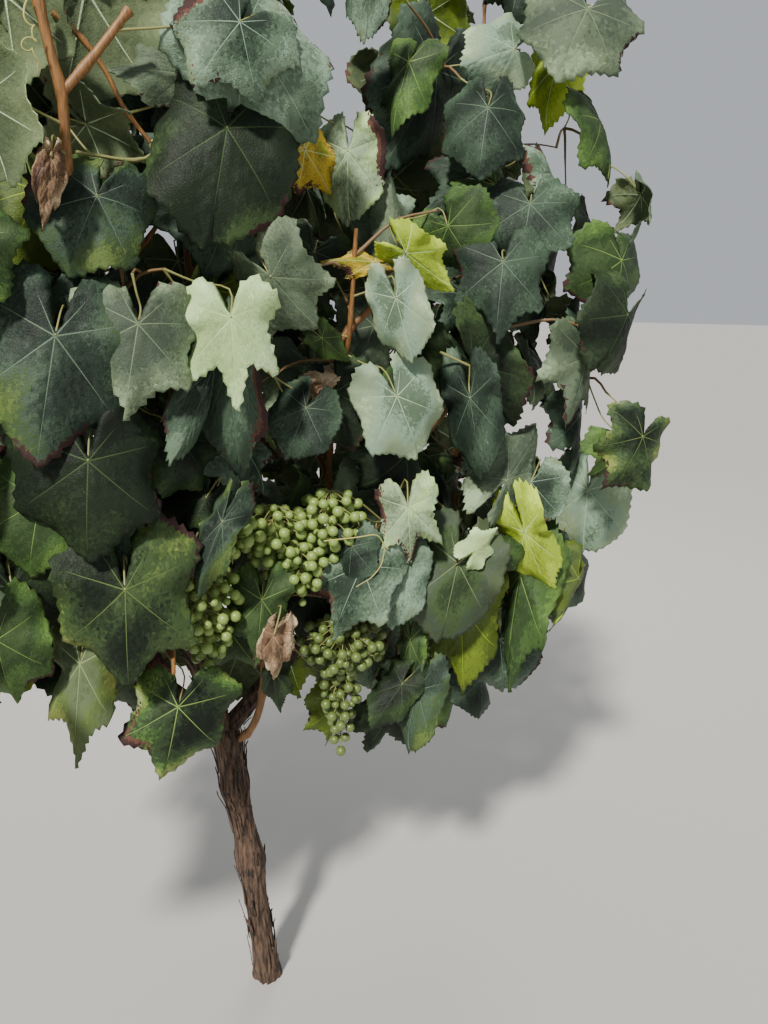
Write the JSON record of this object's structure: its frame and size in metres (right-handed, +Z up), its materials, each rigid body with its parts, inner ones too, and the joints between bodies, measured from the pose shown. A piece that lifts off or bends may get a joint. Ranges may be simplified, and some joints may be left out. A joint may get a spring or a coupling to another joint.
{
  "type": "grapevine",
  "caption": "Grapevine trained as a hedge in late summer: a short leaning trunk, old arms, canes, lobed leaves with dry edges and bunches of unripe green grapes.",
  "frame": {"origin": "middle of the flat cut where the trunk meets level ground", "axes": "+Z up, +X along the row of vines, away from the viewer's left, and -Y towards the side that the picture shows"},
  "size_m": [1.081, 0.5325, 1.5461],
  "materials": {
    "bark": "rough, shredding bark",
    "cane": "ripened cane, smooth and dull",
    "leaf": "matt leaf, dusty above and felted below"
  },
  "bodies": {
    "root": {"trunk": "bark", "arm_left_low": "bark", "arm_left_steep": "bark", "arm_right": "bark", "cane_low_front_far_left": "cane", "cane_low_back_far_left": "cane", "cane_low_front_left": "cane", "cane_low_back_left": "cane", "cane_low_front_right": "cane", "cane_low_back_right": "cane", "cane_low_front_far_right": "cane", "cane_low_back_far_right": "cane", "cane_mid_front_far_left": "cane", "cane_mid_back_far_left": "cane", "cane_mid_front_left": "cane", "cane_mid_back_left": "cane", "cane_mid_front_right": "cane", "cane_mid_back_right": "cane", "cane_mid_front_far_right": "cane", "cane_mid_back_far_right": "cane", "cane_top_far_left": "cane", "cane_top_left": "cane", "cane_top_centre": "cane", "cane_top_right": "cane", "leaves_low_front_far_left": "leaf", "leaves_low_back_far_left": "leaf", "leaves_low_front_left": "leaf", "leaves_low_back_left": "leaf", "leaves_low_front_right": "leaf", "leaves_low_back_right": "leaf", "leaves_low_front_far_right": "leaf", "leaves_low_back_far_right": "leaf", "leaves_mid_front_far_left": "leaf", "leaves_mid_back_far_left": "leaf", "leaves_mid_front_left": "leaf", "leaves_mid_back_left": "leaf", "leaves_mid_front_right": "leaf", "leaves_mid_back_right": "leaf", "leaves_mid_front_far_right": "leaf", "leaves_mid_back_far_right": "leaf", "leaves_top_far_left": "leaf", "leaves_top_left": "leaf", "leaves_top_centre": "leaf", "leaves_top_right": "leaf"}
  },
  "joints": []
}
